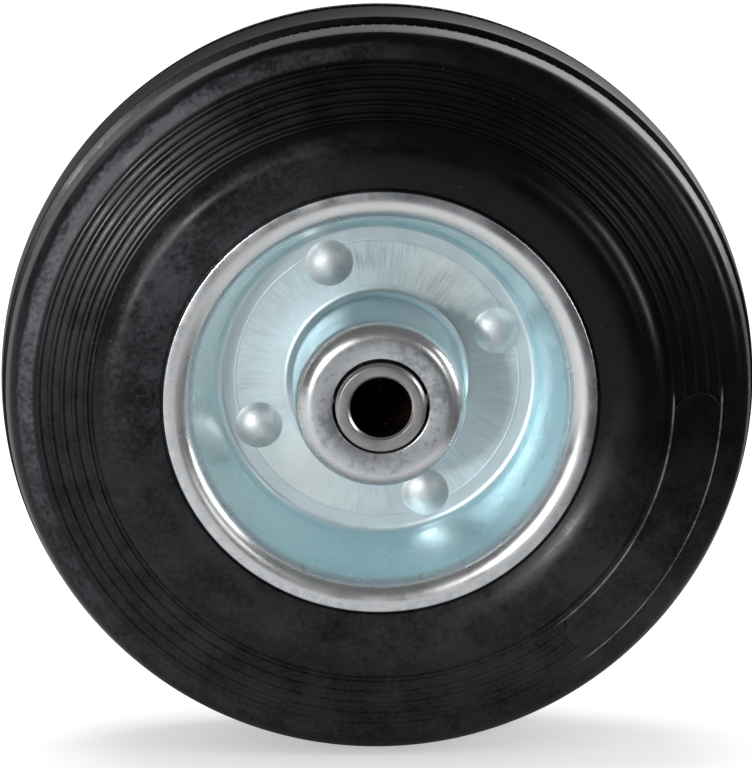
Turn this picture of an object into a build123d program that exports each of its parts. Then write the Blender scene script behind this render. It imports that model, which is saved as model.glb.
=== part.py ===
from build123d import *
import math
import os

os.makedirs("parts", exist_ok=True)

# Sizes are in millimetres and degrees. The wheel turns about Y, its front faces -Y,
# and the origin is the middle of its bore. A "height" is a distance from the wheel's
# middle plane, and an angle on the wheel's face starts at +X and runs towards +Z.

# Tyre: overall size and tread
tyre_diameter = 125.0
tyre_width = 38.0
crown_curve = 54.0           # radius of the tread's crown across its width
tread_land = 7.2             # width of the land between the two tread grooves
tread_offset = 1.25          # the land's middle lies this far towards the front
tread_groove_width = 3.4
tread_groove_depth = 1.5
outer_land_drop = 0.12       # the lands beyond the grooves lie this much lower
groove_lean = 0.2            # how much each groove wall leans back
groove_edge = 0.25           # bevel along the grooves' top edges
shoulder_drop = 5.9
shoulder_curve = 3.4         # less where the outer land leaves no room for it

# Tyre: side wall. A drop is a fall from the widest place, and a share is a part of the
# way from the rim's edge out to the tread.
bulge_share = 0.254          # the widest place
bulge_drop = 1.6             # at the rim's edge
rib_zone_start_share = 0.43
rib_zone_start_drop = 2.4
rib_zone_end_depth = 5.0     # from the tread in to the zone's outer end
rib_zone_end_drop = 5.2
rib_pitch = 1.98             # the zone holds as many ribs as fit
rib_width = 0.42             # across the flat top
rib_height = 0.45
rib_inside_lean = 0.38       # how much a rib's inner side leans back
rib_outside_lean = 0.12
first_rib_offset = 0.35      # from the start of the zone to the first rib

# Smooth pad that takes the ribs' place on part of the front
pad_start = -53.0
pad_end = 1.0

# Rim: two pressed halves, back to back
sheet = 1.2
tyre_seat_diameter = 55.0    # outside of the drum, where the two halves meet
drum_flare = 17.5            # lean of the drum wall
flange_inset = 1.2           # the flange lies this far inside the tyre's widest place
flange_roll = 3.4            # bend from drum wall to flange
flange_flat = 1.5
flange_gap = 0.5             # free ring around the flange
web_bend = 1.5               # bends along both edges of the web
hub_proud = 2.2              # the hub's end stands this far beyond the flange
hub_shoulder = 3.2           # bend at the hub's end

# Rivets through both webs
rivet_count = 4
rivet_first_angle = 22.0
rivet_drum_gap = 0.32        # flat web left free outside each head
rivet_hub_gap = 1.7          # flat web left free inside each head
rivet_head_ratio = 1.95      # head diameter over shank diameter
rivet_head_height = 1.4

# Roller bearing
housing_diameter = 26.0
housing_wall = 1.5
sleeve_diameter = 15.0
sleeve_bore = 10.2
sleeve_proud = 0.9           # the sleeve stands this far out of the hub
sleeve_chamfer = 0.5
bore_chamfer = 0.4
sleeve_opening_gap = 0.5     # free ring around the sleeve in the hub's end
roller_clearance = 0.05      # on each side of a roller
cage_share = 0.56            # cage wall over roller diameter
cage_bar = 1.7               # least bar between two pockets, which sets the rollers' count
cage_end_gap = 0.7
cage_end_ring = 2.8
pocket_clearance = 0.15

# Worked out from the sizes above
tyre_radius = tyre_diameter / 2
half_width = tyre_width / 2
shoulder_height = half_width - shoulder_drop
seat_radius = tyre_seat_diameter / 2
flare_rise = math.tan(math.radians(drum_flare))
flange_height = half_width - flange_inset
flange_back = flange_height - sheet
hub_height = flange_height + hub_proud
hub_back = hub_height - sheet
sheet_roll = flange_roll - sheet        # the same bend on the sheet's back
hub_inside_bend = hub_shoulder - sheet
housing_radius = housing_diameter / 2
hub_radius = housing_radius + sheet
housing_length = 2 * (hub_back - hub_inside_bend)
race_radius = housing_radius - housing_wall
sleeve_radius = sleeve_diameter / 2
hub_opening_radius = sleeve_radius + sleeve_opening_gap
roller_radius = (race_radius - sleeve_radius) / 2 - roller_clearance
roller_circle = (race_radius + sleeve_radius) / 2
pocket_radius = roller_radius + pocket_clearance
roller_count = math.floor(2 * math.pi * roller_circle / (2 * pocket_radius + cage_bar))
cage_wall = cage_share * 2 * roller_radius
cage_length = 2 * (hub_back - cage_end_gap)
pocket_length = cage_length - 2 * cage_end_ring
roller_length = pocket_length - 2 * pocket_clearance

# The drum wall's inner face is the outer one set back by the sheet
drum_foot_radius = seat_radius + sheet * flare_rise - sheet / math.cos(math.radians(drum_flare))
drum_top_radius = drum_foot_radius + (flange_height - sheet) * flare_rise
seat_top_radius = seat_radius + flange_back * flare_rise
bend_share = math.tan(math.radians((90 - drum_flare) / 2))
flange_radius = drum_top_radius + flange_roll * bend_share + flange_flat
bead_radius = flange_radius + flange_gap

# Each rivet head fills the flat web but for its two gaps
web_inside = hub_radius + web_bend
web_outside = drum_foot_radius - web_bend * bend_share
rivet_head_radius = (web_outside - web_inside - rivet_drum_gap - rivet_hub_gap) / 2
rivet_radius = rivet_head_radius / rivet_head_ratio
rivet_circle = web_outside - rivet_drum_gap - rivet_head_radius


def rim_half(side):
    # One pressed half: hub cup, flat web, flared drum and rolled flange.
    # side is -1 for the front half and 1 for the back half.
    with BuildPart() as half:
        with BuildSketch():
            with BuildLine():
                front = FilletPolyline(
                    (hub_opening_radius, side * hub_height),
                    (hub_radius, side * hub_height),
                    (hub_radius, side * sheet),
                    (drum_foot_radius, side * sheet),
                    (drum_top_radius, side * flange_height),
                    (flange_radius, side * flange_height),
                    radius=[hub_shoulder, web_bend, web_bend, flange_roll],
                )
                drum_back = FilletPolyline(
                    (flange_radius, side * flange_back),
                    (seat_top_radius, side * flange_back),
                    (seat_radius, 0),
                    radius=sheet_roll,
                )
                cup_inside = FilletPolyline(
                    (housing_radius, 0),
                    (housing_radius, side * hub_back),
                    (hub_opening_radius, side * hub_back),
                    radius=hub_inside_bend,
                )
                Line(front @ 1, drum_back @ 0)
                Line(drum_back @ 1, cup_inside @ 0)
                Line(cup_inside @ 1, front @ 0)
            make_face()
        revolve(axis=Axis.Y)
        with BuildSketch(Plane.XZ):
            with PolarLocations(rivet_circle, rivet_count, start_angle=rivet_first_angle):
                Circle(rivet_radius)
        extrude(amount=flange_height, both=True, mode=Mode.SUBTRACT)
    return half.part


def rivet(angle):
    # Solid rivet with a domed head on each web
    across = math.radians(angle)
    place = Plane(
        origin=(rivet_circle * math.cos(across), 0, rivet_circle * math.sin(across)),
        x_dir=(1, 0, 0),
        z_dir=(0, 0, 1),
    )
    with BuildPart() as piece:
        with BuildSketch(place):
            with BuildLine():
                top = (0, sheet + rivet_head_height)
                rim = (rivet_head_radius, sheet)
                TangentArc(top, rim, tangent=(1, 0))
                Polyline(rim, (rivet_radius, sheet), (rivet_radius, 0))
                mirror(about=Plane.XZ)
                Line(top, (0, -sheet - rivet_head_height))
            make_face()
        revolve(axis=Axis(place.origin, (0, 1, 0)))
    return piece.part


def tread_radius(height):
    # Radius of the crowned tread at a height
    return tyre_radius - crown_curve + math.sqrt(crown_curve**2 - height**2)


def outer_land_radius(height):
    return tread_radius(height) - outer_land_drop


def groove_outline(side):
    # Corners of one tread groove, from its outer edge inwards, with a bevel along both
    # edges. side is -1 for the front groove and 1 for the back one.
    inside = side * tread_land / 2 - tread_offset
    outside = inside + side * tread_groove_width
    return [
        (outer_land_radius(outside + side * groove_edge), outside + side * groove_edge),
        (outer_land_radius(outside) - groove_edge, outside),
        (groove_floor, outside - side * groove_lean),
        (groove_floor, inside + side * groove_lean),
        (tread_radius(inside) - groove_edge, inside),
        (tread_radius(inside - side * groove_edge), inside - side * groove_edge),
    ]


groove_start = tread_land / 2 + abs(tread_offset)
groove_floor = tread_radius(groove_start) - tread_groove_depth
land_start = groove_start + tread_groove_width + 2 * groove_edge
shoulder_round = min(shoulder_curve, 1.4 * (shoulder_height - land_start))
wall_height = tyre_radius - bead_radius
zone_start = bead_radius + rib_zone_start_share * wall_height
zone_end = tyre_radius - rib_zone_end_depth


def zone_height(radius):
    # Height of the side wall's straight zone, which carries the ribs
    share = (radius - zone_start) / (zone_end - zone_start)
    drop = rib_zone_start_drop + share * (rib_zone_end_drop - rib_zone_start_drop)
    return half_width - drop


rib_span = rib_inside_lean + rib_width + rib_outside_lean
rib_room = zone_end - zone_start - first_rib_offset - rib_span
rib_starts = [
    zone_start + first_rib_offset + rib_pitch * i for i in range(1 + math.floor(rib_room / rib_pitch))
]


def rib_outline():
    # Corners of the side wall's ribbed zone, from the inside outwards
    corners = [(zone_start, zone_height(zone_start))]
    for start in rib_starts:
        top_start = start + rib_inside_lean
        top_end = top_start + rib_width
        corners += [
            (start, zone_height(start)),
            (top_start, zone_height(top_start) + rib_height),
            (top_end, zone_height(top_end) + rib_height),
            (start + rib_span, zone_height(start + rib_span)),
        ]
    return corners + [(zone_end, zone_height(zone_end))]


# Tyre: one ring of rubber moulded to the drum and the flanges
with BuildPart() as tyre:
    with BuildSketch():
        with BuildLine():
            widest = (bead_radius + bulge_share * wall_height, half_width)
            outline = rib_outline()
            seat = FilletPolyline(
                (seat_radius, 0),
                (seat_top_radius, flange_back),
                (bead_radius, flange_back),
                radius=sheet_roll,
            )
            bead = Line(seat @ 1, (bead_radius, half_width - bulge_drop))
            TangentArc(widest, bead @ 1, tangent=(-1, 0))
            TangentArc(widest, outline[0], tangent=(1, 0))
            Polyline(*outline)
            shoulder = FilletPolyline(
                outline[-1],
                (outer_land_radius(shoulder_height), shoulder_height),
                (outer_land_radius(land_start), land_start),
                radius=shoulder_round,
            )
            mirror(about=Plane.XZ)
            back = Polyline((outer_land_radius(land_start), land_start), *groove_outline(1))
            front = Polyline((outer_land_radius(land_start), -land_start), *groove_outline(-1))
            RadiusArc(back @ 1, front @ 1, crown_curve)
        make_face()
    revolve(axis=Axis.Y)

# Smooth pad between the first and the last rib, with round ends
pad_inside = rib_starts[0] + rib_inside_lean
pad_outside = rib_starts[-1] + rib_inside_lean + rib_width
pad_middle = (pad_inside + pad_outside) / 2
pad_width = pad_outside - pad_inside
pad_round = math.degrees(pad_width / 2 / pad_middle)
with BuildPart() as pad:
    with BuildSketch(Plane.XZ):
        pad_line = CenterArc(
            (0, 0),
            pad_middle,
            pad_start + pad_round,
            pad_end - pad_start - 2 * pad_round,
            mode=Mode.PRIVATE,
        )
        SlotArc(pad_line, pad_width)
    extrude(amount=half_width)
    with BuildSketch():
        with BuildLine():
            Polyline(
                (pad_inside, -zone_height(pad_inside) + rib_height),
                (pad_inside, -zone_height(pad_inside) - rib_height),
                (pad_outside, -zone_height(pad_outside) - rib_height),
                (pad_outside, -zone_height(pad_outside) + rib_height),
                close=True,
            )
        make_face()
    revolve(axis=Axis.Y, mode=Mode.INTERSECT)
with BuildPart() as tyre_with_pad:
    add(tyre.part)
    add(pad.part)

tyre_with_pad.part.label = "tyre"
export_step(tyre_with_pad.part, "parts/tyre.step")

# Rim halves and the rivets that hold them together
rim_front = rim_half(-1)
rim_front.label = "rim_front"
export_step(rim_front, "parts/rim_front.step")
rim_back = rim_half(1)
rim_back.label = "rim_back"
export_step(rim_back, "parts/rim_back.step")

for i in range(rivet_count):
    piece = rivet(rivet_first_angle + i * 360 / rivet_count)
    piece.label = f"rivet_{i + 1}"
    export_step(piece, f"parts/rivet_{i + 1}.step")

# Bearing housing: a plain tube pressed into both hub cups, which the rollers run in
with BuildPart() as bearing_housing:
    with BuildSketch(Plane.XZ):
        Circle(housing_radius)
        Circle(race_radius, mode=Mode.SUBTRACT)
    extrude(amount=housing_length / 2, both=True)
bearing_housing.part.label = "bearing_housing"
export_step(bearing_housing.part, "parts/bearing_housing.step")

# Cage: a moulded tube with one round-sided pocket for each roller
with BuildPart() as roller_cage:
    with BuildSketch(Plane.XZ):
        Circle(roller_circle + cage_wall / 2)
        Circle(roller_circle - cage_wall / 2, mode=Mode.SUBTRACT)
    extrude(amount=cage_length / 2, both=True)
    with BuildSketch(Plane.XZ):
        with PolarLocations(roller_circle, roller_count):
            Circle(pocket_radius)
    extrude(amount=pocket_length / 2, both=True, mode=Mode.SUBTRACT)
roller_cage.part.label = "roller_cage"
export_step(roller_cage.part, "parts/roller_cage.step")

for i in range(roller_count):
    around = math.radians(i * 360 / roller_count)
    place = Plane(
        origin=(roller_circle * math.cos(around), 0, roller_circle * math.sin(around)),
        z_dir=(0, 1, 0),
    )
    with BuildPart() as roller:
        with BuildSketch(place):
            Circle(roller_radius)
        extrude(amount=roller_length / 2, both=True)
    roller.part.label = f"roller_{i + 1}"
    export_step(roller.part, f"parts/roller_{i + 1}.step")

# Axle sleeve: the tube that the axle bolt clamps, with broken edges
with BuildPart() as axle_sleeve:
    with BuildSketch(Plane.XZ):
        Circle(sleeve_radius)
    extrude(amount=hub_height + sleeve_proud, both=True)
    chamfer(axle_sleeve.edges().filter_by(GeomType.CIRCLE), sleeve_chamfer)
    with BuildSketch(Plane.XZ):
        Circle(sleeve_bore / 2)
    extrude(amount=hub_height + sleeve_proud, both=True, mode=Mode.SUBTRACT)
    bore_edges = axle_sleeve.edges().filter_by(GeomType.CIRCLE).sort_by(SortBy.RADIUS)[:2]
    chamfer(bore_edges, bore_chamfer)
axle_sleeve.part.label = "axle_sleeve"
export_step(axle_sleeve.part, "parts/axle_sleeve.step")
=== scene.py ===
import math
import bmesh
import bpy
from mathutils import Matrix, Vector


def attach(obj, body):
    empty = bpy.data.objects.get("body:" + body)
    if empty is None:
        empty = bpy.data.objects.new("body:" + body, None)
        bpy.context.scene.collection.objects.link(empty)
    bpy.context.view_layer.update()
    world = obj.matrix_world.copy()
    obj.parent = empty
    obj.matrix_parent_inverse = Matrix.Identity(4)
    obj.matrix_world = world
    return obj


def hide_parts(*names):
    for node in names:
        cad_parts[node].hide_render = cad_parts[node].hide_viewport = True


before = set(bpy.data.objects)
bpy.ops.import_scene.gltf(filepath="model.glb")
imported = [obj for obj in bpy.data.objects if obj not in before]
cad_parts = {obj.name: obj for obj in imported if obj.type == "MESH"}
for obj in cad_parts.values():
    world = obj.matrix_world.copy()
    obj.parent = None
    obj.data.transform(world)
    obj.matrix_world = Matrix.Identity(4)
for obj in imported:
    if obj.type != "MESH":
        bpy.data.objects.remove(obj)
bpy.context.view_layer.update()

mm = 0.001

# Lengths below are in millimetres and angles in degrees. Outlines are pairs of (distance
# from the axle, distance in front of the wheel's middle plane), and the front faces -Y.

wheelSize = {
    "tyreRadius": 62.5,
    "halfWidth": 19.0,
    "seatRadius": 27.5,
    "drumFlare": 17.5,
    "sheet": 1.2,
    "flangeFront": 17.8,
    "flangeRadius": 35.84,
}
flareRise = math.tan(math.radians(wheelSize["drumFlare"]))


def arcBetween(start, corner, end, radius, steps):
    # points of the round that takes the place of a corner
    a, b, c = Vector(start), Vector(corner), Vector(end)
    toA, toC = (a - b).normalized(), (c - b).normalized()
    half = toA.angle(toC) / 2
    reach = radius / math.tan(half)
    middle = b + (toA + toC).normalized() * (radius / math.sin(half))
    first, last = b + toA * reach - middle, b + toC * reach - middle
    turn = first.angle_signed(last)
    points = []
    for i in range(steps + 1):
        angle = -turn * i / steps
        x = first.x * math.cos(angle) - first.y * math.sin(angle)
        y = first.x * math.sin(angle) + first.y * math.cos(angle)
        points.append((middle.x + x, middle.y + y))
    return points


def roundedOutline(corners, closed=True):
    # corners are (radius, front, round, steps in the round), or (radius, front, 0) where sharp
    points, count = [], len(corners)
    for i, corner in enumerate(corners):
        atEnd = not closed and i in (0, count - 1)
        if corner[2] == 0 or atEnd:
            points.append(corner[:2])
            continue
        before, after = corners[i - 1], corners[(i + 1) % count]
        points += arcBetween(before[:2], corner[:2], after[:2], corner[2], corner[3])
    return points


def turnedTree():
    # turns the outline that an object holds around the axle
    tree = bpy.data.node_groups.new("turned round the axle", "GeometryNodeTree")
    face = tree.interface
    face.new_socket("Outline", in_out="INPUT", socket_type="NodeSocketGeometry")
    steps = face.new_socket("Steps Around", in_out="INPUT", socket_type="NodeSocketInt")
    steps.default_value = 226
    path = face.new_socket("Path Radius", in_out="INPUT", socket_type="NodeSocketFloat")
    path.default_value = 0.03
    face.new_socket("Finish", in_out="INPUT", socket_type="NodeSocketMaterial")
    face.new_socket("Piece", in_out="OUTPUT", socket_type="NodeSocketGeometry")
    nodes, link = tree.nodes, tree.links.new
    source, result = nodes.new("NodeGroupInput"), nodes.new("NodeGroupOutput")
    toCurve = nodes.new("GeometryNodeMeshToCurve")
    circle = nodes.new("GeometryNodeCurvePrimitiveCircle")
    sweep = nodes.new("GeometryNodeCurveToMesh")
    realize = nodes.new("GeometryNodeRealizeInstances")
    finish = nodes.new("GeometryNodeSetMaterial")
    link(source.outputs["Outline"], toCurve.inputs["Mesh"])
    link(source.outputs["Steps Around"], circle.inputs["Resolution"])
    link(source.outputs["Path Radius"], circle.inputs["Radius"])
    link(circle.outputs["Curve"], sweep.inputs["Curve"])
    link(toCurve.outputs["Curve"], sweep.inputs["Profile Curve"])
    link(sweep.outputs["Mesh"], realize.inputs["Geometry"])
    link(realize.outputs["Geometry"], finish.inputs["Geometry"])
    link(source.outputs["Finish"], finish.inputs["Material"])
    link(finish.outputs["Geometry"], result.inputs["Piece"])
    return tree


def spacedTree():
    # sets copies of the object's own small mesh evenly around the axle
    tree = bpy.data.node_groups.new("spaced round the axle", "GeometryNodeTree")
    face = tree.interface
    face.new_socket("Piece", in_out="INPUT", socket_type="NodeSocketGeometry")
    count = face.new_socket("Count", in_out="INPUT", socket_type="NodeSocketInt")
    count.default_value = 4
    first = face.new_socket("First Angle", in_out="INPUT", socket_type="NodeSocketFloat")
    first.default_value = 0.0
    spread = face.new_socket("Size Spread", in_out="INPUT", socket_type="NodeSocketFloat")
    spread.default_value = 0.0
    seed = face.new_socket("Seed", in_out="INPUT", socket_type="NodeSocketInt")
    seed.default_value = 3
    face.new_socket("Finish", in_out="INPUT", socket_type="NodeSocketMaterial")
    face.new_socket("Pieces", in_out="OUTPUT", socket_type="NodeSocketGeometry")
    nodes, link = tree.nodes, tree.links.new
    source, result = nodes.new("NodeGroupInput"), nodes.new("NodeGroupOutput")
    points = nodes.new("GeometryNodePoints")
    place = nodes.new("GeometryNodeInstanceOnPoints")
    index = nodes.new("GeometryNodeInputIndex")
    share, turn, low = [nodes.new("ShaderNodeMath") for _ in range(3)]
    share.operation, turn.operation, low.operation = "DIVIDE", "MULTIPLY_ADD", "SUBTRACT"
    turn.inputs[1].default_value = -2 * math.pi
    low.inputs[0].default_value = 1.0
    axis = nodes.new("ShaderNodeCombineXYZ")
    size = nodes.new("FunctionNodeRandomValue")
    size.data_type = "FLOAT"
    size.inputs["Max"].default_value = 1.0
    realize = nodes.new("GeometryNodeRealizeInstances")
    finish = nodes.new("GeometryNodeSetMaterial")
    link(source.outputs["Count"], points.inputs["Count"])
    link(points.outputs["Points"], place.inputs["Points"])
    link(source.outputs["Piece"], place.inputs["Instance"])
    link(index.outputs["Index"], share.inputs[0])
    link(source.outputs["Count"], share.inputs[1])
    link(share.outputs["Value"], turn.inputs[0])
    link(source.outputs["First Angle"], turn.inputs[2])
    link(turn.outputs["Value"], axis.inputs["Y"])
    link(axis.outputs["Vector"], place.inputs["Rotation"])
    link(source.outputs["Size Spread"], low.inputs[1])
    link(low.outputs["Value"], size.inputs["Min"])
    link(source.outputs["Seed"], size.inputs["Seed"])
    link(size.outputs[1], place.inputs["Scale"])
    link(place.outputs["Instances"], realize.inputs["Geometry"])
    link(realize.outputs["Geometry"], finish.inputs["Geometry"])
    link(source.outputs["Finish"], finish.inputs["Material"])
    link(finish.outputs["Geometry"], result.inputs["Pieces"])
    return tree


def meshObject(name, points, edges=(), faces=()):
    mesh = bpy.data.meshes.new(name)
    mesh.from_pydata(points, edges, faces)
    piece = bpy.data.objects.new(name, mesh)
    bpy.context.scene.collection.objects.link(piece)
    return piece


def runTree(piece, tree, values):
    # runs a tree on a piece and keeps the result as the piece's own plain mesh
    modifier = piece.modifiers.new("tree", "NODES")
    modifier.node_group = tree
    for item in tree.interface.items_tree:
        if item.item_type == "SOCKET" and item.in_out == "INPUT" and item.name in values:
            modifier[item.identifier] = values[item.name]
    piece.update_tag()
    bpy.context.view_layer.update()
    evaluated = piece.evaluated_get(bpy.context.evaluated_depsgraph_get())
    mesh = bpy.data.meshes.new_from_object(evaluated)
    piece.modifiers.remove(modifier)
    old = piece.data
    piece.data = mesh
    mesh.name = piece.name
    bpy.data.meshes.remove(old)


def cleanShell(piece, sharpAngle):
    shell = bmesh.new()
    shell.from_mesh(piece.data)
    bmesh.ops.remove_doubles(shell, verts=shell.verts, dist=0.0005 * mm)
    bmesh.ops.recalc_face_normals(shell, faces=shell.faces)
    shell.to_mesh(piece.data)
    shell.free()
    for polygon in piece.data.polygons:
        polygon.use_smooth = True
    piece.data.set_sharp_from_angle(angle=math.radians(sharpAngle))


turned, spaced = turnedTree(), spacedTree()


def turnedPiece(name, outline, material, stepsAround, sharpAngle):
    # a closed outline turned into a ring; the tree's path runs round at pathRadius
    pathRadius = 30
    points = [((radius - pathRadius) * mm, front * mm, 0) for radius, front in outline]
    edges = [(i, (i + 1) % len(points)) for i in range(len(points))]
    piece = meshObject(name, points, edges)
    runTree(piece, turned, {"Steps Around": stepsAround, "Path Radius": pathRadius * mm, "Finish": material})
    # the tree turns about Z, so the ring is laid over onto the wheel's own axle
    for vertex in piece.data.vertices:
        x, y, z = vertex.co
        vertex.co = (x, -z, y)
    cleanShell(piece, sharpAngle)
    return piece


def spacedPieces(name, points, faces, material, values, sharpAngle):
    piece = meshObject(name, points, (), faces)
    runTree(piece, spaced, dict(values, Finish=material))
    cleanShell(piece, sharpAngle)
    return piece


def finishPiece(piece, body, replaced=()):
    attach(piece, body)
    if replaced:
        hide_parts(*replaced)
    print("made", piece.name, len(piece.data.polygons), "faces")


class Network:
    # a shader tree, with a short call for each node that the looks need

    def __init__(self, tree):
        self.tree, self.nodes, self.link = tree, tree.nodes, tree.links.new

    def fill(self, socket, value):
        # links an output to a socket, or writes a number or a colour on it
        if isinstance(value, (int, float)):
            socket.default_value = value
        elif isinstance(value, (tuple, list)):
            socket.default_value = (*value, 1)
        else:
            self.link(value, socket)

    def fillNamed(self, node, values):
        for key, value in values.items():
            self.fill(node.inputs[key], value)
        return node

    def math(self, operation, *values, clamp=False):
        node = self.nodes.new("ShaderNodeMath")
        node.operation = operation
        node.use_clamp = clamp
        for socket, value in zip(node.inputs, values):
            self.fill(socket, value)
        return node.outputs[0]

    def plus(self, first, second, clamp=False):
        return self.math("ADD", first, second, clamp=clamp)

    def minus(self, first, second):
        return self.math("SUBTRACT", first, second)

    def times(self, first, *others):
        for other in others:
            first = self.math("MULTIPLY", first, other)
        return first

    def timesPlus(self, first, second, third):
        return self.math("MULTIPLY_ADD", first, second, third)

    def larger(self, first, second):
        return self.math("MAXIMUM", first, second)

    def ramp(self, value, start, end, atStart=0.0, atEnd=1.0):
        # a smooth way from atStart, where the value is start, to atEnd
        node = self.nodes.new("ShaderNodeMapRange")
        node.interpolation_type = "SMOOTHSTEP"
        self.fillNamed(node, {"Value": value, "From Min": start, "From Max": end,
                              "To Min": atStart, "To Max": atEnd})
        return node.outputs["Result"]

    def zone(self, first, second, ends):
        # 1 inside a zone; each pair in ends says where the mask starts and where it is full
        return self.times(self.ramp(first, *ends[0]), self.ramp(second, *ends[1]))

    def mix(self, share, first, second, blend="MIX"):
        node = self.nodes.new("ShaderNodeMix")
        node.data_type = "RGBA"
        node.blend_type = blend
        for place, value in ((0, share), (6, first), (7, second)):
            self.fill(node.inputs[place], value)
        return node.outputs[2]

    def noise(self, vector, scale, detail, roughness):
        node = self.nodes.new("ShaderNodeTexNoise")
        self.fillNamed(node, {"Vector": vector, "Scale": scale, "Detail": detail, "Roughness": roughness})
        return node.outputs["Fac"]

    def group(self, tree, **values):
        node = self.nodes.new("ShaderNodeGroup")
        node.node_tree = tree
        return self.fillNamed(node, values).outputs

    def sector(self, angle, heading, width):
        return self.group(sector, Angle=angle, Heading=heading, Width=width)["Mask"]

    def bump(self, height, strength, distance):
        node = self.nodes.new("ShaderNodeBump")
        self.fillNamed(node, {"Height": height, "Strength": strength, "Distance": distance * mm})
        return node.outputs["Normal"]

    def split(self, vector):
        node = self.nodes.new("ShaderNodeSeparateXYZ")
        self.link(vector, node.inputs[0])
        return node.outputs

    def combine(self, *values):
        node = self.nodes.new("ShaderNodeCombineXYZ")
        for socket, value in zip(node.inputs, values):
            self.fill(socket, value)
        return node.outputs[0]


def newGroup(name, inputs, outputs):
    tree = bpy.data.node_groups.new(name, "ShaderNodeTree")
    for label, kind, value in inputs:
        socket = tree.interface.new_socket(label, in_out="INPUT", socket_type="NodeSocket" + kind)
        if value is not None:
            socket.default_value = value
    for label in outputs:
        tree.interface.new_socket(label, in_out="OUTPUT", socket_type="NodeSocketFloat")
    net = Network(tree)
    return net, net.nodes.new("NodeGroupInput").outputs, net.nodes.new("NodeGroupOutput").inputs


def wheelPlaceGroup():
    # where a point of the wheel is: its distance from the axle and from the middle plane in
    # millimetres, and its angle round the axle in turns
    net, given, result = newGroup(
        "place on the wheel", [("Point", "Vector", None)], ["Radius", "Height", "Angle"])
    x, y, z = net.split(given["Point"])
    squares = net.timesPlus(x, x, net.times(z, z))
    net.link(net.times(net.math("SQRT", squares), 1000), result["Radius"])
    net.link(net.times(net.math("ABSOLUTE", y), 1000), result["Height"])
    net.link(net.math("DIVIDE", net.math("ARCTAN2", z, x), 2 * math.pi), result["Angle"])
    return net.tree


def sectorGroup():
    # 1 towards the heading, in degrees round the axle, falling to 0 at half the width to each side
    net, given, result = newGroup(
        "sector", [("Angle", "Float", 0.0), ("Heading", "Float", 0.0), ("Width", "Float", 90.0)], ["Mask"])
    offset = net.minus(given["Angle"], net.math("DIVIDE", given["Heading"], 360))
    away = net.math("ABSOLUTE", net.math("WRAP", offset, 0.5, -0.5))
    half = net.math("DIVIDE", given["Width"], 720)
    net.link(net.ramp(away, half, 0.0), result["Mask"])
    return net.tree


def specksGroup():
    # small loose specks, such as dust or pits
    net, given, result = newGroup(
        "specks", [("Point", "Vector", None), ("Spacing", "Float", 2.0), ("Size", "Float", 0.12),
                   ("Patchiness", "Float", 0.5)], ["Mask"])
    cells = net.nodes.new("ShaderNodeTexVoronoi")
    net.link(given["Point"], cells.inputs["Vector"])
    net.link(net.math("DIVIDE", 1000, given["Spacing"]), cells.inputs["Scale"])
    draws = net.nodes.new("ShaderNodeSeparateColor")
    net.link(cells.outputs["Color"], draws.inputs[0])
    size = net.times(given["Size"], draws.outputs[0])
    spot = net.ramp(cells.outputs["Distance"], size, net.times(size, 0.6))
    kept = net.math("GREATER_THAN", draws.outputs[1], given["Patchiness"])
    net.link(net.times(spot, kept), result["Mask"])
    return net.tree


def streaksGroup():
    # fine lines that run around the axle or away from it
    net, given, result = newGroup(
        "turning streaks", [("Radius", "Float", 0.0), ("Angle", "Float", 0.0), ("Across", "Float", 8.0),
                            ("Along", "Float", 4.0), ("Seed", "Float", 0.0)], ["Fac"])
    # the angle is laid on a circle, so that the pattern has no seam
    angle = net.times(given["Angle"], 2 * math.pi)
    place = net.combine(net.times(net.math("COSINE", angle), given["Along"]),
                        net.times(net.math("SINE", angle), given["Along"]),
                        net.timesPlus(given["Radius"], given["Across"], given["Seed"]))
    net.link(net.noise(place, 1.0, 2.5, 0.6), result["Fac"])
    return net.tree


placeOnWheel, sector, specks, streaks = wheelPlaceGroup(), sectorGroup(), specksGroup(), streaksGroup()


def newMaterial(name):
    material = bpy.data.materials.new(name)
    material.use_nodes = True
    net = Network(material.node_tree)
    return material, net, net.nodes["Principled BSDF"], net.nodes.new("ShaderNodeTexCoord").outputs["Object"]


def wheelPlace(net, point):
    place = net.group(placeOnWheel, Point=point)
    return place["Radius"], place["Height"], place["Angle"]


rubberLook = {
    "base": (0.0012, 0.0012, 0.0014),
    "filmAndSheen": (0.125, 0.132, 0.150),       # greyish film on the rubber, with painted sheen of the light on the left laid into it
    "filmSheenHeading": 152.0,                # where the film and its painted sheen are thickest, in degrees round the axle
    "floorSheen": 0.085,                      # the share of the film colour painted over the rest of the side as sheen, for the reflection of the pale floor
    "floorSheenHeading": 232.0,
    "middleLand": (0.007, 0.0065, 0.0065),
    "outerLand": (0.066, 0.060, 0.060),
    "padEdgeHighlight": (0.16, 0.16, 0.17),        # painted highlight on the edges of the smooth pad
    "dust": (0.42, 0.43, 0.45),
    "roughness": (0.22, 0.34),
    "shine": 0.23,
    # Where each finish starts and where it is full. A zone has a pair for the distance from the
    # axle and a pair for the distance from the middle plane.
    "filmSheenZone": ((57.0, 57.5), (11.8, 12.6)),
    "filmSheenEdge": (60.2, 59.4),
    "insideRibs": (46.6, 45.6),
    "floorSheenHeight": (9.5, 12.0),
    "middleZone": ((62.08, 62.18), (5.2, 5.1)),
    "outerZone": ((61.02, 61.14), (5.86, 5.92)),
    "padSector": (-26.0, 58.0),          # heading and width
    "padEdges": (((48.22, 48.34), (48.66, 48.50)), ((56.34, 56.50), (56.78, 56.66))),
}


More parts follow.
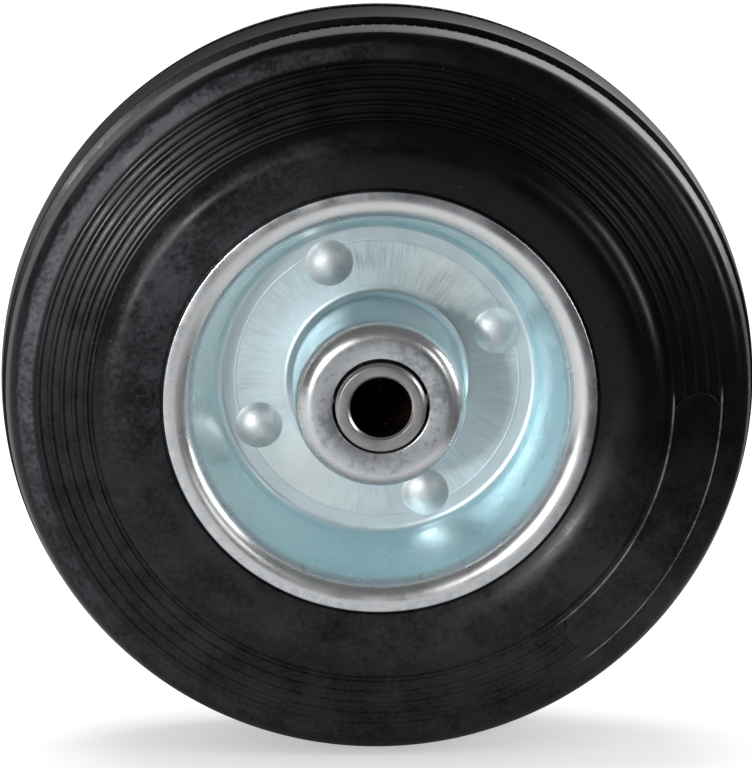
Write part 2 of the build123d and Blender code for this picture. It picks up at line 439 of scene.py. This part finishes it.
def rubberMaterial():
    look = rubberLook
    material, net, shader, point = newMaterial("tyre rubber")
    radius, height, angle = wheelPlace(net, point)
    cloud = net.noise(point, 120, 5, 0.65)
    grain = net.noise(point, 1300, 3, 0.6)
    mottle = net.plus(net.times(cloud, 0.6), net.times(grain, 0.4))
    # the greyish film, partly real and partly painted sheen of the light on the left, lies on the outer band
    # of the side, thickest on the left, and thinly inside the ribs
    thick = net.sector(angle, look["filmSheenHeading"], 150.0)
    thin = net.sector(angle, 205.0, 330.0)
    ragged = net.timesPlus(net.minus(cloud, 0.5), 3.2, radius)
    band = net.times(net.zone(radius, height, look["filmSheenZone"]), net.ramp(ragged, *look["filmSheenEdge"]))
    inner = net.times(net.ramp(radius, *look["insideRibs"]), 0.30)
    amount = net.plus(net.times(band, net.timesPlus(thick, 0.72, net.times(thin, 0.20))),
                      net.plus(net.times(inner, thick), net.times(thin, 0.025)))
    filmAndSheen = net.times(amount, net.ramp(mottle, 0.38, 0.64, 0.18, 1.0))
    # a thin painted sheen, for the reflection of the pale floor, greys the whole side but for its upper
    # right
    floorSheenSide = net.sector(angle, look["floorSheenHeading"], 300.0)
    floorSheen = net.times(net.ramp(floorSheenSide, 0.0, 0.35), net.ramp(height, *look["floorSheenHeight"]), look["floorSheen"])
    filmAndSheen = net.larger(filmAndSheen, net.times(floorSheen, net.ramp(mottle, 0.35, 0.65, 0.35, 1.65)))
    colour = net.mix(filmAndSheen, look["base"], look["filmAndSheen"])
    # the lands of the tread are scuffed, those beyond the grooves the most
    middle = net.zone(radius, height, look["middleZone"])
    outer = net.zone(radius, height, look["outerZone"])
    scuff = net.ramp(cloud, 0.25, 0.7, 0.75, 1.1)
    colour = net.mix(middle, colour, look["middleLand"])
    colour = net.mix(net.times(outer, scuff), colour, look["outerLand"])
    # painted highlight: the pad's edges are painted lighter on its side of the wheel
    side = net.ramp(net.sector(angle, *look["padSector"]), 0.0, 0.05)
    edges = net.larger(*[net.zone(radius, radius, edge) for edge in look["padEdges"]])
    padEdgeHighlight = net.times(edges, side, net.ramp(mottle, 0.40, 0.60, 0.25, 0.95))
    colour = net.mix(padEdgeHighlight, colour, look["padEdgeHighlight"])
    dust = net.group(specks, Point=point, Spacing=1.3, Size=0.11, Patchiness=0.80)["Mask"]
    colour = net.mix(net.times(dust, net.timesPlus(amount, 0.7, 0.12)), colour, look["dust"])
    lines = net.group(streaks, Radius=radius, Angle=angle, Across=2.2, Along=9.0)["Fac"]
    rough = net.plus(net.ramp(cloud, 0.3, 0.7, *look["roughness"]),
                     net.times(net.minus(lines, 0.5), 0.15), clamp=True)
    rough = net.timesPlus(filmAndSheen, 0.30, rough)
    rough = net.larger(rough, net.times(net.larger(outer, middle), 0.38))
    net.fillNamed(shader, {"Base Color": colour, "Roughness": rough,
                           "Specular IOR Level": look["shine"], "Normal": net.bump(mottle, 0.30, 0.08)})
    return material


zincLook = {
    "plain": (0.72, 0.73, 0.735),
    "bend": (0.97, 0.985, 0.99),         # painted highlight on the rolled lip and the hub's shoulder
    "web": (0.79, 0.93, 0.98),
    "wall": (0.76, 0.96, 1.00),          # the plating's blue, strongest down in the dish
    "pale": (0.90, 0.98, 0.95),          # its paler, greener side on the upper left
    "paleHeading": 158.0,
    "hubWall": (0.82, 0.92, 0.96),
    "hubWallShade": (0.46, 0.58, 0.62),  # painted shade on the wall's upper side
    "hubEnd": (0.73, 0.755, 0.775),
    "stain": (0.27, 0.285, 0.32),        # on the hub's end
    "bluish": (0.56, 0.63, 0.72),        # spots on the flange
    "roughness": (0.22, 0.34),
    "mattFlats": 0.14,                   # how much rougher the web and the hub's wall are
    "highlightFans": ((58.0, 70.0), (232.0, 80.0)),    # heading and width of the two fans of painted highlight on the web
    # Zones, as for the rubber.
    "wallZone": ((25.7, 26.6), (15.3, 14.0)),
    "hubWallZone": ((15.9, 15.0), (18.6, 17.0)),
    "webZone": ((14.9, 15.6), (3.4, 2.0)),
    "hubEndZone": ((14.6, 14.0), (17.8, 19.2)),
    "shoulderZone": ((11.2, 12.2), (17.2, 18.2)),
    "rollZone": ((31.0, 31.8), (15.6, 16.6)),
    "rollEnd": (34.6, 34.0),
    "flangeStart": (34.2, 34.9),
    # These two lie between two distances from the axle.
    "lineBand": ((15.9, 16.4), (23.6, 23.2)),
    "pressedRing": ((23.45, 23.6), (23.85, 23.7)),
}


def zincMaterial():
    look = zincLook
    material, net, shader, point = newMaterial("rim zinc")
    radius, height, angle = wheelPlace(net, point)
    radial = net.group(streaks, Radius=radius, Angle=angle, Across=0.22, Along=62.0)["Fac"]
    around = net.group(streaks, Radius=net.plus(radius, height), Angle=angle,
                       Across=2.6, Along=0.9, Seed=5.0)["Fac"]
    cloud = net.noise(point, 130, 4, 0.6)
    grain = net.noise(point, 700, 3, 0.6)
    wall, hubWall, web, hubEnd, shoulder, roll = [
        net.zone(radius, height, look[name + "Zone"])
        for name in ("wall", "hubWall", "web", "hubEnd", "shoulder", "roll")]
    roll = net.times(roll, net.ramp(radius, *look["rollEnd"]))
    pale = net.sector(angle, look["paleHeading"], 190.0)
    upper = net.sector(angle, 115.0, 250.0)
    colour = net.mix(web, look["plain"], look["web"])
    colour = net.mix(wall, colour, net.mix(pale, look["wall"], look["pale"]))
    # painted shade: the hub's wall is darker on its upper side
    colour = net.mix(hubWall, colour, net.mix(upper, look["hubWall"], look["hubWallShade"]))
    stained = net.ramp(net.timesPlus(grain, 0.4, net.times(cloud, 0.6)), 0.50, 0.64)
    colour = net.mix(hubEnd, colour, look["hubEnd"])
    colour = net.mix(net.times(hubEnd, stained, 0.7), colour, look["stain"])
    # painted highlight: the rolled lip and the hub's shoulder are painted lighter
    colour = net.mix(net.larger(roll, net.times(shoulder, 0.8)), colour, look["bend"])
    spots = net.times(net.ramp(radius, *look["flangeStart"]), net.ramp(grain, 0.45, 0.62))
    colour = net.mix(net.times(spots, 0.5), colour, look["bluish"])
    # fine radial lines on the web, and two fans of painted highlight over them
    inBand = net.times(net.zone(radius, radius, look["lineBand"]), web)
    highlightFans = net.larger(*[net.sector(angle, *fan) for fan in look["highlightFans"]])
    fine = net.times(inBand, net.ramp(radial, 0.35, 0.65, -0.05, 0.05))
    lift = net.timesPlus(net.times(highlightFans, inBand), 0.16, net.plus(fine, 1.0))
    grey = net.nodes.new("ShaderNodeCombineColor")
    for socket in grey.inputs[:3]:
        net.link(lift, socket)
    colour = net.mix(1.0, colour, grey.outputs[0], "MULTIPLY")
    matt = net.times(net.larger(web, hubWall), look["mattFlats"])
    rough = net.plus(net.ramp(cloud, 0.3, 0.7, *look["roughness"]), matt)
    rough = net.plus(rough, net.times(net.minus(radial, 0.4), inBand, 0.35), clamp=True)
    ring = net.times(web, net.zone(radius, radius, look["pressedRing"]))
    relief = net.timesPlus(net.times(radial, inBand), 0.45, net.times(ring, 1.4))
    # the walls of the dish are drawn smooth
    rolled = net.minus(1.0, net.larger(wall, hubWall))
    turning = net.timesPlus(grain, 0.25, net.times(around, 0.8))
    relief = net.timesPlus(turning, rolled, relief)
    net.fillNamed(shader, {"Base Color": colour, "Metallic": 1.0, "Roughness": rough,
                           "Normal": net.bump(relief, 1.0, 0.012)})
    return material


def plainMetal(name, colour, roughness):
    material, net, shader, point = newMaterial(name)
    cloud = net.noise(point, 300, 4, 0.6)
    net.fillNamed(shader, {
        "Base Color": net.mix(net.ramp(cloud, 0.35, 0.7), colour, [c * 0.8 for c in colour]),
        "Roughness": net.ramp(cloud, 0.3, 0.7, roughness - 0.06, roughness + 0.08),
        "Metallic": 1.0,
    })
    return material


sleeveLook = {
    "steel": (0.52, 0.50, 0.505),
    "chamfer": (0.66, 0.65, 0.64),
    # the bore is painted near black, as shade deep inside the tube
    "bore": (0.006, 0.005, 0.005),
    "rust": (0.060, 0.014, 0.008),
    "rustSector": (-50.0, 120.0),        # heading and width
    "seam": (0.60, 0.56, 0.54),
    "seamSector": (-78.5, 7.0),          # the tube's weld runs along the bore here
    "roughness": 0.34,
    "inBore": (5.14, 5.11),              # distances from the axle, as for the rubber
    "onChamfers": ((6.95, 7.05), (5.54, 5.48)),
}


def sleeveMaterial():
    look = sleeveLook
    material, net, shader, point = newMaterial("sleeve steel")
    radius, _, angle = wheelPlace(net, point)
    cloud = net.noise(point, 260, 4, 0.6)
    around = net.group(streaks, Radius=radius, Angle=angle, Across=5.0, Along=1.2, Seed=2.0)["Fac"]
    bore = net.ramp(radius, *look["inBore"])
    chamfers = net.larger(*[net.ramp(radius, *ends) for ends in look["onChamfers"]])
    steel = net.mix(net.ramp(cloud, 0.35, 0.7), look["steel"], [c * 0.75 for c in look["steel"]])
    steel = net.mix(chamfers, steel, look["chamfer"])
    rusty = net.times(net.ramp(cloud, 0.45, 0.7), net.sector(angle, *look["rustSector"]))
    # painted shade: the bore is near black and without shine, with rust over part of it
    inside = net.mix(rusty, look["bore"], look["rust"])
    pits = net.group(specks, Point=point, Spacing=0.5, Size=0.45, Patchiness=0.35)["Mask"]
    inside = net.mix(net.times(pits, net.sector(angle, *look["seamSector"])), inside, look["seam"])
    rough = net.timesPlus(around, 0.2, look["roughness"] - 0.1)
    net.fillNamed(shader, {
        "Base Color": net.mix(bore, steel, inside),
        "Metallic": net.minus(1.0, bore),
        "Roughness": net.larger(rough, net.times(bore, 0.9)),
        "Specular IOR Level": 0.0,
        "Normal": net.bump(around, 1.0, 0.01),
    })
    return material


def cageMaterial():
    material, net, shader, _ = newMaterial("cage plastic")
    # painted shade: the cage is near black so that the narrow gap round the sleeve stays dark
    net.fillNamed(shader, {"Base Color": (0.02, 0.02, 0.02), "Roughness": 0.55})
    return material


rubber = rubberMaterial()
zinc = zincMaterial()
rivetZinc = plainMetal("rivet zinc", (0.86, 0.92, 0.94), 0.50)
bearingSteel = plainMetal("bearing steel", (0.42, 0.42, 0.43), 0.25)
sleeveSteel = sleeveMaterial()
cagePlastic = cageMaterial()
print("materials made")

rim = {
    "stepsAround": 288,
    "drumFoot": 26.62,
    "hubEnd": 20.0,
    "hubWall": 14.2,            # outer radius of the hub cup
    "hole": 8.0,
    "hubShoulder": 3.2,
    "webBend": 1.5,
    "flangeRoll": 3.4,
    "edgeRound": 0.25,
    "hiddenEdgeRound": 0.1,
}

tyre = {
    "stepsAround": 360,
    "bulgeRadius": 42.99,
    "beadRadius": 36.34,
    "beadFront": 17.4,
    "zone": ((47.6, 16.6), (57.5, 13.8)),   # ends of the flat side band that carries the ribs
    "shoulder": (60.68, 13.1, 4.2),
    "crown": 54.0,
    "landHalf": 3.6,
    "treadForward": 1.25,                   # the land between the grooves lies this far to the front
    "grooveWidth": 3.4,
    "grooveDepth": 1.5,
    "outerDrop": 0.12,                      # the lands beyond the grooves lie this much lower
    "grooveLean": 0.2,
    "landEdgeRound": 0.22,
    "grooveFloorRound": 0.2,
    "ribCount": 5,
    "firstRib": 47.946,
    "ribPitch": 1.98,
    "ribTop": 0.42,
    "ribHeight": 0.45,
    "ribInsideLean": 0.38,
    "ribOutsideLean": 0.12,
    "ribRound": 0.10,
    "ribFootRounds": (0.06, 0.08),          # on a rib's outer side and on its inner side
    "bulgeSteps": 10,
}


def treadRadius(front):
    return wheelSize["tyreRadius"] - tyre["crown"] + math.sqrt(tyre["crown"] ** 2 - front ** 2)


def zoneFront(radius):
    (r0, f0), (r1, f1) = tyre["zone"]
    return f0 + (radius - r0) / (r1 - r0) * (f1 - f0)


def bulgeArc(peak, end):
    # a round that leaves the widest place square to the axle and runs to the end point
    rise, run = peak[1] - end[1], end[0] - peak[0]
    radius = (rise * rise + run * run) / (2 * rise)
    sweep = 2 * math.atan2(rise, abs(run))
    sign = 1 if run > 0 else -1
    steps = tyre["bulgeSteps"]
    angles = [sweep * i / steps for i in range(1, steps + 1)]
    return [(peak[0] + sign * radius * math.sin(angle), peak[1] - radius * (1 - math.cos(angle)))
            for angle in angles]


def grooveEnds(side):
    # where a tread groove's inner and outer wall lie along the axle; side is 1 for the front groove
    inside = tyre["treadForward"] + side * tyre["landHalf"]
    return inside, inside + side * tyre["grooveWidth"]


def treadOutline(side):
    # half of the tread, from the middle of its land over one groove and shoulder to the side band
    inside, outside = grooveEnds(side)
    lean, drop, middle = side * tyre["grooveLean"], tyre["outerDrop"], tyre["treadForward"]
    floor = treadRadius(middle + tyre["landHalf"]) - tyre["grooveDepth"]
    land = [middle + side * tyre["landHalf"] * i / 4 for i in range(4)]
    half = [(treadRadius(front), front) for front in land]
    edge, foot = tyre["landEdgeRound"], tyre["grooveFloorRound"]
    shoulder, front, rounding = tyre["shoulder"]
    return half + roundedOutline([
        (*half[-1], 0), (treadRadius(inside), inside, edge, 4), (floor, inside + lean, foot, 3),
        (floor, outside - lean, foot, 3), (treadRadius(outside) - drop, outside, edge, 4),
        (shoulder, side * front, rounding, 14),
        (tyre["zone"][1][0], side * tyre["zone"][1][1], 0)], closed=False)[1:]


def sideOutline():
    # from the side band's outer end inwards, to the middle of the seat on the drum
    size, corners = wheelSize, [(*tyre["zone"][1], 0)]
    outerFoot, innerFoot = tyre["ribFootRounds"]
    for i in reversed(range(tyre["ribCount"])):
        start = tyre["firstRib"] + i * tyre["ribPitch"]
        topStart = start + tyre["ribInsideLean"]
        topEnd = topStart + tyre["ribTop"]
        end = topEnd + tyre["ribOutsideLean"]
        corners += [(end, zoneFront(end), outerFoot, 2),
                    (topEnd, zoneFront(topEnd) + tyre["ribHeight"], tyre["ribRound"], 3),
                    (topStart, zoneFront(topStart) + tyre["ribHeight"], tyre["ribRound"], 3),
                    (start, zoneFront(start), innerFoot, 2)]
    corners.append((*tyre["zone"][0], 0))
    half = roundedOutline(corners, closed=False)[1:]
    peak = (tyre["bulgeRadius"], size["halfWidth"])
    half += list(reversed(bulgeArc(peak, tyre["zone"][0])))[1:] + [peak]
    half += bulgeArc(peak, (tyre["beadRadius"], tyre["beadFront"]))
    back = size["flangeFront"] - size["sheet"]
    return half + roundedOutline([
        (tyre["beadRadius"], back, 0),
        (size["seatRadius"] + back * flareRise, back, rim["flangeRoll"] - size["sheet"], 6),
        (size["seatRadius"], 0, 0)], closed=False)


def makeTyre():
    half = sideOutline()
    whole = treadOutline(1) + half + [(radius, -front) for radius, front in reversed(half[:-1])]
    whole += list(reversed(treadOutline(-1)))[:-1]
    outline = [(radius, -front) for radius, front in whole]
    piece = turnedPiece("tyre_rubber_ring", outline, rubber, tyre["stepsAround"], sharpAngle=28)
    finishPiece(piece, "wheel", ["tyre"])


pad = {
    "startAngle": -53.0,
    "endAngle": 1.0,
    "inside": 48.32,
    "outside": 56.68,
    "lift": 0.06,          # the pad stands this far over the ribs' tops, to keep clear of them
    "edgeRound": 0.22,
    "footDepth": 0.3,      # the pad's wall runs this far into the side band
    "stepsAlong": 160,
    "stepsEnd": 28,
    "stepsRound": 4,
    "topLoops": (0.25, 0.5, 0.75, 0.97),    # how far in they lie, as shares of half the width
}


def padLoop(inset, sink):
    # one loop of the pad's long round-ended shape, drawn in by inset and lowered by sink
    middle = (pad["inside"] + pad["outside"]) / 2
    half = (pad["outside"] - pad["inside"]) / 2
    reach = math.degrees(half / middle)
    start, end = pad["startAngle"] + reach, pad["endAngle"] - reach
    width = half - inset
    points = []
    for side, first, last in ((1, start, end), (-1, end, start)):
        for i in range(pad["stepsAlong"]):
            points.append((middle + side * width, first + (last - first) * i / pad["stepsAlong"]))
        for i in range(pad["stepsEnd"]):
            turn = math.pi * i / pad["stepsEnd"]
            beyond = side * math.degrees(width * math.sin(turn) / middle)
            points.append((middle + side * width * math.cos(turn), last + beyond))
    loop = []
    for radius, angle in points:
        front = zoneFront(radius) + tyre["ribHeight"] + pad["lift"] - sink
        turn = math.radians(angle)
        loop.append((radius * math.cos(turn) * mm, -front * mm, radius * math.sin(turn) * mm))
    return loop


def makePad():
    half = (pad["outside"] - pad["inside"]) / 2
    rings = [(0, tyre["ribHeight"] + pad["lift"] + pad["footDepth"]), (0, pad["edgeRound"])]
    for i in range(1, pad["stepsRound"] + 1):
        turn = math.radians(90 * i / pad["stepsRound"])
        rings.append((pad["edgeRound"] * (1 - math.cos(turn)), pad["edgeRound"] * (1 - math.sin(turn))))
    rings += [(half * share, 0) for share in pad["topLoops"]]
    points, faces = [], []
    for inset, sink in rings:
        points += padLoop(inset, sink)
    count = 2 * (pad["stepsAlong"] + pad["stepsEnd"])
    for level in range(len(rings) - 1):
        for i in range(count):
            a, b = level * count + i, level * count + (i + 1) % count
            faces.append((a, b, b + count, a + count))
    last = (len(rings) - 1) * count
    # the innermost loop is closed by a row of faces between its long sides and one at each end
    along, atEnd = pad["stepsAlong"], pad["stepsEnd"]
    opposite = last + 2 * along + atEnd
    for i in range(along):
        faces.append((last + i, last + i + 1, opposite - i - 1, opposite - i))
    faces.append(tuple(last + along + i for i in range(atEnd + 1)))
    faces.append(tuple(last + (2 * along + atEnd + i) % count for i in range(atEnd + 1)))
    piece = meshObject("side_pad", points, (), faces)
    piece.data.materials.append(rubber)
    cleanShell(piece, sharpAngle=50)
    finishPiece(piece, "wheel")


treadTeeth = {
    "count": 226,
    "width": 0.34,
    "reach": 0.75,        # how far a tooth stands out of the groove's outer wall
    "drop": 0.03,         # how far its top lies below the land
    "depth": 0.55,
    "smallShare": 0.55,   # every other tooth is this much smaller
    "smallLower": 0.35,   # and lies this much lower
    "root": 0.1,          # how far a tooth reaches into the wall that it stands on
    "tipBevel": (0.15, 0.04, 0.22),       # its length, its fall and how low the tip ends
}


def makeTeeth():
    pitch, root = 2 * math.pi / treadTeeth["count"], treadTeeth["root"]
    bevel, fall, low = treadTeeth["tipBevel"]
    points, faces = [], []
    for side in (1, -1):
        wall = abs(grooveEnds(side)[1])
        for turn, share, lower in ((0, 1.0, 0.0),
                                   (pitch / 2, treadTeeth["smallShare"], treadTeeth["smallLower"])):
            base = len(points)
            half = treadTeeth["width"] / 2 * share
            top = treadRadius(wall) - tyre["outerDrop"] - treadTeeth["drop"] - lower
            foot = top - treadTeeth["depth"]
            tip = wall - treadTeeth["reach"] * share
            outline = [(wall + root, foot), (wall + root, top), (tip + bevel, top - fall),
                       (tip, top - low), (wall - root, foot)]
            for shift in (-1, 1):
                for front, radius in outline:
                    across = turn + shift * half / radius
                    x, z = radius * math.cos(across), radius * math.sin(across)
                    points.append((x * mm, -side * front * mm, z * mm))
            count = len(outline)
            faces.append(tuple(base + i for i in range(count)))
            faces.append(tuple(base + count + i for i in reversed(range(count))))
            for i in range(count):
                j = (i + 1) % count
                faces.append((base + j, base + i, base + count + i, base + count + j))
    values = {"Count": treadTeeth["count"], "First Angle": 0.0, "Size Spread": 0.0, "Seed": 3}
    piece = spacedPieces("tread_teeth", points, faces, rubber, values, sharpAngle=30)
    finishPiece(piece, "wheel")


makeTyre()
makePad()
makeTeeth()
print("tyre done")


def rimOutline():
    size = wheelSize
    sheet, front = size["sheet"], size["flangeFront"]
    back, hubBack = front - sheet, rim["hubEnd"] - sheet
    wallTop = rim["drumFoot"] + back * flareRise
    housing = rim["hubWall"] - sheet
    return roundedOutline([
        (rim["hole"], rim["hubEnd"], rim["edgeRound"], 3),
        (rim["hubWall"], rim["hubEnd"], rim["hubShoulder"], 14),
        (rim["hubWall"], sheet, rim["webBend"], 8),
        (rim["drumFoot"], sheet, rim["webBend"], 8),
        (wallTop, front, rim["flangeRoll"], 16),
        (size["flangeRadius"], front, rim["edgeRound"], 3),
        (size["flangeRadius"], back, rim["hiddenEdgeRound"], 2),
        (size["seatRadius"] + back * flareRise, back, rim["flangeRoll"] - sheet, 6),
        (size["seatRadius"], 0, 0, 0),
        (housing, 0, 0, 0),
        (housing, hubBack, rim["hubShoulder"] - sheet, 5),
        (rim["hole"], hubBack, rim["hiddenEdgeRound"], 2),
    ])


def makeRims():
    for node, side in (("rim_front", -1), ("rim_back", 1)):
        outline = [(radius, side * front) for radius, front in rimOutline()]
        piece = turnedPiece(node.replace("_", "_sheet_"), outline, zinc, rim["stepsAround"], sharpAngle=40)
        finishPiece(piece, "wheel", [node])


rivets = {
    "count": 4,
    "firstAngle": 22.0,
    "circle": 21.30,
    "headRadius": 3.9,
    "headHeight": 1.4,
    "stepsAround": 48,
    "stepsUp": 9,
    "domeEnd": 0.10,       # the dome ends this far above the web,
    "footInset": 0.06,     # its foot is drawn in by this much
    "footSunk": 0.05,      # and sunk this far into the web
}


def makeRivets():
    head, height, sheet = rivets["headRadius"], rivets["headHeight"], wheelSize["sheet"]
    dome = (head * head + height * height) / (2 * height)
    spread, steps = math.asin(head / dome), rivets["stepsUp"]
    outline = [(dome * math.sin(spread * i / steps), height - dome * (1 - math.cos(spread * i / steps)))
               for i in range(steps)]
    outline += [(head, rivets["domeEnd"]), (head - rivets["footInset"], -rivets["footSunk"])]
    circle, around, points, faces = rivets["circle"], rivets["stepsAround"], [], []
    for side in (-1, 1):
        base = len(points)
        points.append((circle * mm, side * (sheet + height) * mm, 0))
        for radius, rise in outline[1:]:
            for i in range(around):
                turn = 2 * math.pi * i / around
                x, z = circle + radius * math.cos(turn), radius * math.sin(turn)
                points.append((x * mm, side * (sheet + rise) * mm, z * mm))
        for i in range(around):
            faces.append((base, base + 1 + i, base + 1 + (i + 1) % around))
        for level in range(len(outline) - 2):
            for i in range(around):
                row = base + 1 + level * around
                a, b = row + i, row + (i + 1) % around
                faces.append((a, b, b + around, a + around))
        last = base + 1 + (len(outline) - 2) * around
        faces.append(tuple(last + i for i in range(around)))
    values = {"Count": rivets["count"], "First Angle": -math.radians(rivets["firstAngle"]),
              "Size Spread": 0.0, "Seed": 5}
    piece = spacedPieces("rivet_heads", points, faces, rivetZinc, values, sharpAngle=60)
    finishPiece(piece, "wheel", [f"rivet_{i + 1}" for i in range(rivets["count"])])


makeRims()
makeRivets()
print("rims done")


sleeve = {
    "stepsAround": 128,
    "radius": 7.5,
    "bore": 5.1,
    "boreChamfer": 0.4,
    "halfLength": 20.9,
    "chamfer": 0.5,
    "edgeRounds": (0.05, 0.15),      # at the bore and at the outside
}


def makeSleeve():
    end, chamfer, bore = sleeve["halfLength"], sleeve["chamfer"], sleeve["bore"]
    atBore, outside = sleeve["edgeRounds"]
    half = [(bore, end - sleeve["boreChamfer"], 0, 0), (bore + sleeve["boreChamfer"], end, atBore, 2),
            (sleeve["radius"] - chamfer, end, outside, 3), (sleeve["radius"], end - chamfer, outside, 3)]
    corners = half + [(radius, -front, k, n) for radius, front, k, n in reversed(half)]
    outline = roundedOutline(corners)
    piece = turnedPiece("sleeve_tube", outline, sleeveSteel, sleeve["stepsAround"], sharpAngle=30)
    finishPiece(piece, "axle_sleeve", ["axle_sleeve"])


def dressBearing():
    for name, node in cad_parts.items():
        if name == "bearing_housing" or name.startswith("roller_"):
            node.data.materials.clear()
            node.data.materials.append(cagePlastic if name == "roller_cage" else bearingSteel)


makeSleeve()
dressBearing()
print("bearing done")


stageLook = {
    "floorDrop": 62.5,
    "floorSize": 4.0,
    "floor": (0.80, 0.80, 0.80),
    "mirroredFloor": (0.55, 0.55, 0.555),  # the floor as the wheel mirrors it
    "farFloor": (0.05, 0.05, 0.055),     # the unlit part of the room that the wheel mirrors
    "farStart": (-0.30, -0.42),          # where it starts and is full along Y, in metres
    "farSlant": -4.0,                    # on the right, where Y plus this times X starts and is full
    "farSlantStart": (-0.27, -0.42),
    "floorLift": 0.42,                   # what the camera adds, so that the floor looks white
    "worldLight": 0.55,
    "frontReflection": 0.10,             # the dark room behind the camera
    "backReflection": 0.04,              # low behind the wheel
    "screenReflection": 1.50,            # a bright screen that leans over it from behind
    "bandReflection": (1.0, 6.0),        # the strips of light behind it, on the left and on the right
    "overheadReflection": 0.03,
    # Where these start and are full, as the parts up, to the back and to the side of a direction.
    "screenUp": (0.38, 0.52),
    "overheadUp": (0.64, 0.74),
    "bandBack": ((0.90, 0.85), (0.52, 0.74)),
    "bandSide": (0.0, 0.30),
    "behindBack": (-0.1, 0.2),
}


def makeStage():
    look, half, z = stageLook, stageLook["floorSize"], -stageLook["floorDrop"] * mm
    corners = [(-half, -half, z), (half, -half, z), (half, half, z), (-half, half, z)]
    floor = meshObject("floor", corners, (), [(0, 1, 2, 3)])
    material, net, shader, point = newMaterial("floor")
    rays = net.nodes.new("ShaderNodeLightPath").outputs
    x, y, _ = net.split(point)
    slant = net.timesPlus(x, look["farSlant"], y)
    far = net.larger(net.ramp(slant, *look["farSlantStart"]), net.ramp(y, *look["farStart"]))
    far = net.times(far, rays["Is Glossy Ray"])
    near = net.mix(rays["Is Glossy Ray"], look["floor"], look["mirroredFloor"])
    net.fillNamed(shader, {
        "Base Color": net.mix(far, near, look["farFloor"]),
        "Roughness": 0.9,
        "Specular IOR Level": 0.0,
        "Emission Color": (1, 1, 1),
        "Emission Strength": net.times(rays["Is Camera Ray"], look["floorLift"]),
    })
    floor.data.materials.append(material)


def makeWorld():
    look = stageLook
    world = bpy.data.worlds.new("studio")
    bpy.context.scene.world = world
    world.use_nodes = True
    net = Network(world.node_tree)
    rays = net.nodes.new("ShaderNodeLightPath").outputs
    side, back, up = net.split(net.nodes.new("ShaderNodeTexCoord").outputs["Generated"])
    screen = net.ramp(up, *look["screenUp"], look["backReflection"], look["screenReflection"])
    band = net.zone(back, back, look["bandBack"])
    band = net.times(band, net.ramp(side, *look["bandSide"], *look["bandReflection"]))
    behind = net.ramp(up, *look["overheadUp"], net.larger(screen, band), look["overheadReflection"])
    around = net.ramp(back, *look["behindBack"], look["frontReflection"], behind)
    # the camera sees white, the wheel mirrors the room, and all other rays get plain light
    shown = net.timesPlus(rays["Is Glossy Ray"], around, rays["Is Camera Ray"])
    other = net.minus(1.0, net.larger(rays["Is Glossy Ray"], rays["Is Camera Ray"]))
    net.fillNamed(net.nodes["Background"], {
        "Color": (1, 1, 1), "Strength": net.timesPlus(other, look["worldLight"], shown)})


lamps = {
    "left softbox": {"place": (-0.44, -0.88, 0.12), "size": (0.09, 0.09), "power": 3.4},
    "right card": {"place": (0.54, -0.83, 0.17), "size": (0.12, 0.30), "power": 0.35},
    "right strip": {"place": (0.96, -0.30, 0.25), "size": (0.16, 0.50), "power": 2.0},
    "top panel": {"place": (-0.1, 0.25, 1.1), "size": (0.9, 0.6), "power": 7.0, "mirrored": False},
}


def makeLamps():
    for name, lamp in lamps.items():
        light = bpy.data.lights.new(name, "AREA")
        light.shape = "RECTANGLE"
        light.size, light.size_y = lamp["size"]
        light.energy = lamp["power"]
        holder = bpy.data.objects.new(name, light)
        holder.visible_camera = False
        holder.visible_glossy = lamp.get("mirrored", True)
        holder.location = lamp["place"]
        holder.rotation_euler = (-Vector(lamp["place"])).to_track_quat("-Z", "Y").to_euler()
        bpy.context.scene.collection.objects.link(holder)


cameraPlace = {
    "distance": 1500.0,
    "elevation": 14.8,
    "azimuth": -1.74,
    "focalPixels": 9011.0,
    "longSide": 768,
    "sideStep": -0.188,
    "upStep": -1.355,
}


def makeCamera():
    elevation, azimuth = math.radians(cameraPlace["elevation"]), math.radians(cameraPlace["azimuth"])
    level = math.cos(elevation)
    back = Vector((math.sin(azimuth) * level, -math.cos(azimuth) * level, math.sin(elevation)))
    right = Vector((math.cos(azimuth), math.sin(azimuth), 0))
    up = back.cross(right)
    lens = bpy.data.cameras.new("camera")
    lens.sensor_width = 36.0
    lens.lens = cameraPlace["focalPixels"] * lens.sensor_width / cameraPlace["longSide"]
    lens.clip_start, lens.clip_end = 0.05, 50
    camera = bpy.data.objects.new("camera", lens)
    step = right * cameraPlace["sideStep"] + up * cameraPlace["upStep"]
    camera.location = (back * cameraPlace["distance"] + step) * mm
    camera.rotation_euler = back.to_track_quat("Z", "Y").to_euler()
    bpy.context.scene.collection.objects.link(camera)
    bpy.context.scene.camera = camera


makeStage()
makeWorld()
makeLamps()
makeCamera()
bpy.context.scene.view_settings.view_transform = "Standard"

print("scene ready")
